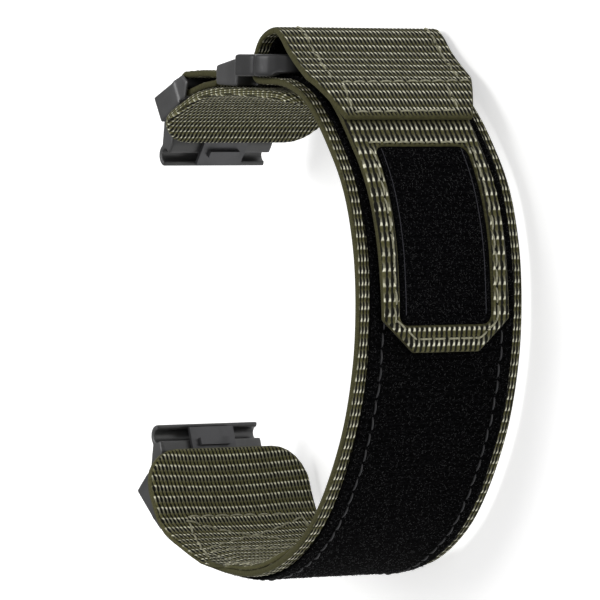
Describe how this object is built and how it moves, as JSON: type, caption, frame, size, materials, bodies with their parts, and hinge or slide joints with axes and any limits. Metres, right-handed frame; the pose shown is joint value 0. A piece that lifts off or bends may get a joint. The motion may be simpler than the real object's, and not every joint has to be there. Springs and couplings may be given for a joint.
{
  "type": "woven watch strap",
  "caption": "Woven nylon watch strap with a hook and loop tail, a metal ring buckle and latching lug adapters, closed in its worn shape.",
  "frame": {"origin": "on the surface that the strap lies on, under the middle of its bounding box", "axes": "+X from the watch's lower lug to its upper one, +Y from the wrist to the watch, +Z across the strap's width, up as it lies on its side edge"},
  "size_m": [0.0936, 0.0754, 0.0368],
  "materials": {
    "webbing": "coarse olive nylon weave",
    "pad": "olive nylon with a sealed edge",
    "loop_pile": "black loop pile",
    "hook_pile": "black hooks",
    "black_steel": "satin black coated steel",
    "dark_steel": "smooth dark grey coated steel",
    "spring_steel": "bright spring wire"
  },
  "bodies": {
    "long_strap": {"long_webbing": "webbing", "loop_panel": "loop_pile", "long_inner_pad": "pad"},
    "tail": {"fold_webbing": "webbing", "fold_loop_panel": "loop_pile", "tail_tip": "webbing", "tail_inset": "loop_pile", "hook_patch": "hook_pile"},
    "ring": {"buckle_ring": "black_steel"},
    "short_strap": {"short_webbing": "webbing", "short_inner_pad": "pad", "buckle_base": "black_steel", "buckle_webbing_bar": "dark_steel", "buckle_hinge_pin": "dark_steel"},
    "upper_adapter": {"upper_adapter_frame": "black_steel", "upper_webbing_bar": "dark_steel", "upper_latch_keeper": "dark_steel", "upper_latch_spring": "spring_steel"},
    "upper_latch": {"upper_latch": "dark_steel"},
    "lower_adapter": {"lower_adapter_frame": "black_steel", "lower_webbing_bar": "dark_steel", "lower_latch_keeper": "dark_steel", "lower_latch_spring": "spring_steel"},
    "lower_latch": {"lower_latch": "dark_steel"}
  },
  "joints": [
    {"name": "tail_peel", "type": "hinge", "parent": "long_strap", "child": "tail", "pos_m": [0.04682, -0.00593, 0.0184], "axis": [0, 0, 1], "range_deg": [0, 50]},
    {"name": "ring_tilt", "type": "hinge", "parent": "long_strap", "child": "ring", "pos_m": [0.04087, -0.00965, 0.0184], "axis": [0, 0, 1], "range_deg": [-4, 6]},
    {"name": "buckle_hinge", "type": "hinge", "parent": "ring", "child": "short_strap", "pos_m": [0.03972, 0.00475, 0.0184], "axis": [0, 0, -1], "range_deg": [0, 30]},
    {"name": "upper_adapter_turn", "type": "hinge", "parent": "short_strap", "child": "upper_adapter", "pos_m": [0.03578, 0.02736, 0.0184], "axis": [0, 0, -1], "range_deg": [0, 75]},
    {"name": "upper_latch_slide", "type": "slide", "parent": "upper_adapter", "child": "upper_latch", "axis": [0.8406, -0.5417, 0], "range_m": [0, 0.002], "stiffness_N_per_m": 200, "springref_m": -0.002, "deforming": ["upper_latch_spring"]},
    {"name": "lower_adapter_turn", "type": "hinge", "parent": "long_strap", "child": "lower_adapter", "pos_m": [-0.04047, 0.02992, 0.0184], "axis": [0, 0, 1], "range_deg": [0, 75]},
    {"name": "lower_latch_slide", "type": "slide", "parent": "lower_adapter", "child": "lower_latch", "axis": [-0.9272, -0.3746, 0], "range_m": [0, 0.002], "stiffness_N_per_m": 200, "springref_m": -0.002, "deforming": ["lower_latch_spring"]}
  ]
}
